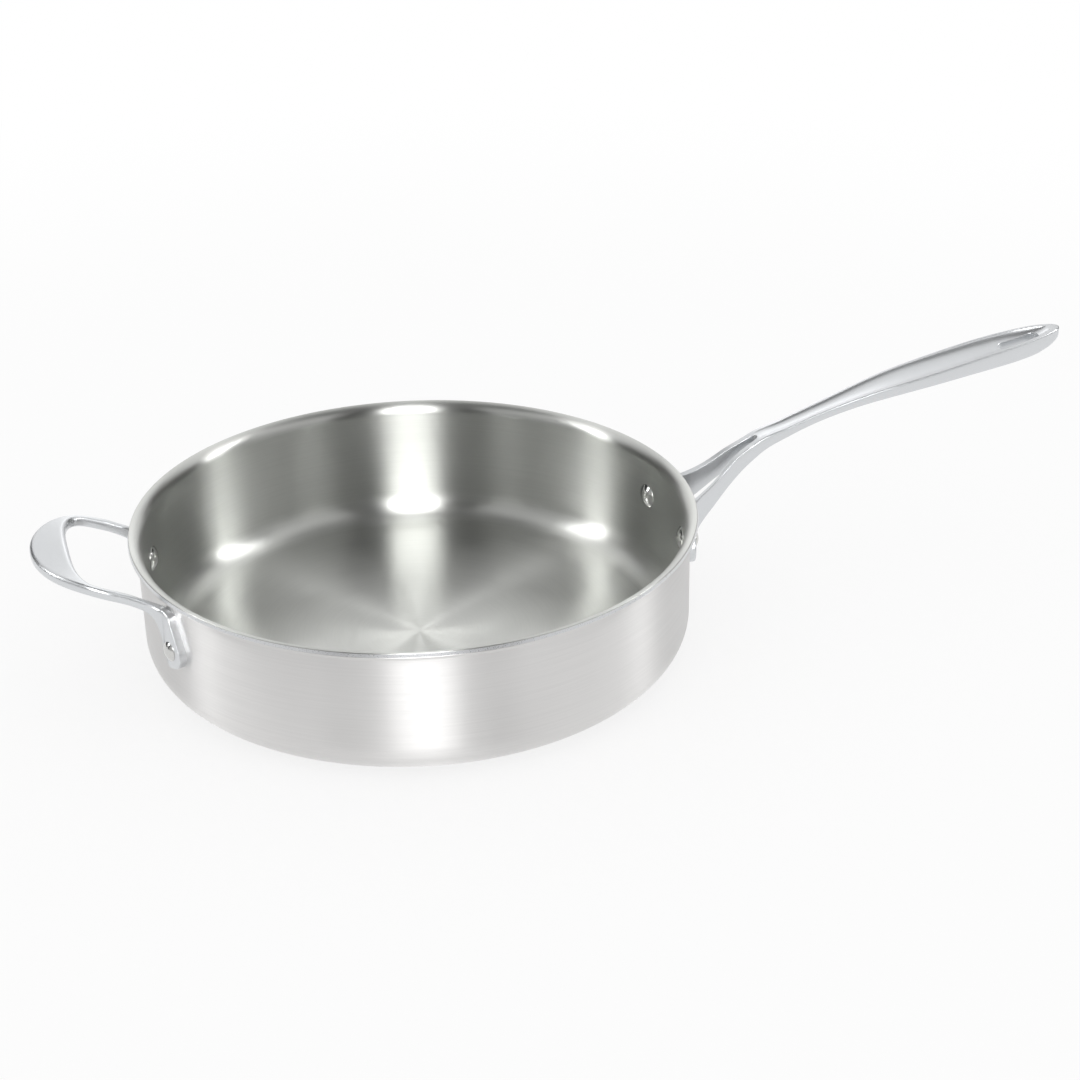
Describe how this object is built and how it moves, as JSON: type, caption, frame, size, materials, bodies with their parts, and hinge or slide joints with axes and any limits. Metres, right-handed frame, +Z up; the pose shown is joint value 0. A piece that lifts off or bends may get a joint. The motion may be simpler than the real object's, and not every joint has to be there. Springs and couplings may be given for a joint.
{
  "type": "saute pan",
  "caption": "Straight-sided clad steel pan with a pouring lip, a forked long handle with a hanging slot and a looped helper handle opposite, both riveted to the wall.",
  "frame": {"origin": "centre of the flat base's underside, on the pan's axis", "axes": "+Z up along the pan's axis, +X towards the long handle, so the XZ plane is the plane of symmetry"},
  "size_m": [0.5823, 0.305, 0.1326],
  "materials": {
    "cooking_steel": "fine brushed",
    "core_aluminium": "machined edge",
    "outer_steel": "satin brushed",
    "cast_steel": "tumbled and polished casting",
    "rivet_steel": "polished"
  },
  "bodies": {
    "root": {"inner_ply": "cooking_steel", "core_ply": "core_aluminium", "outer_ply": "outer_steel", "long_handle": "cast_steel", "helper_handle": "cast_steel", "long_handle_rivet_left": "rivet_steel", "long_handle_rivet_right": "rivet_steel", "helper_rivet_left": "rivet_steel", "helper_rivet_right": "rivet_steel"}
  },
  "joints": []
}
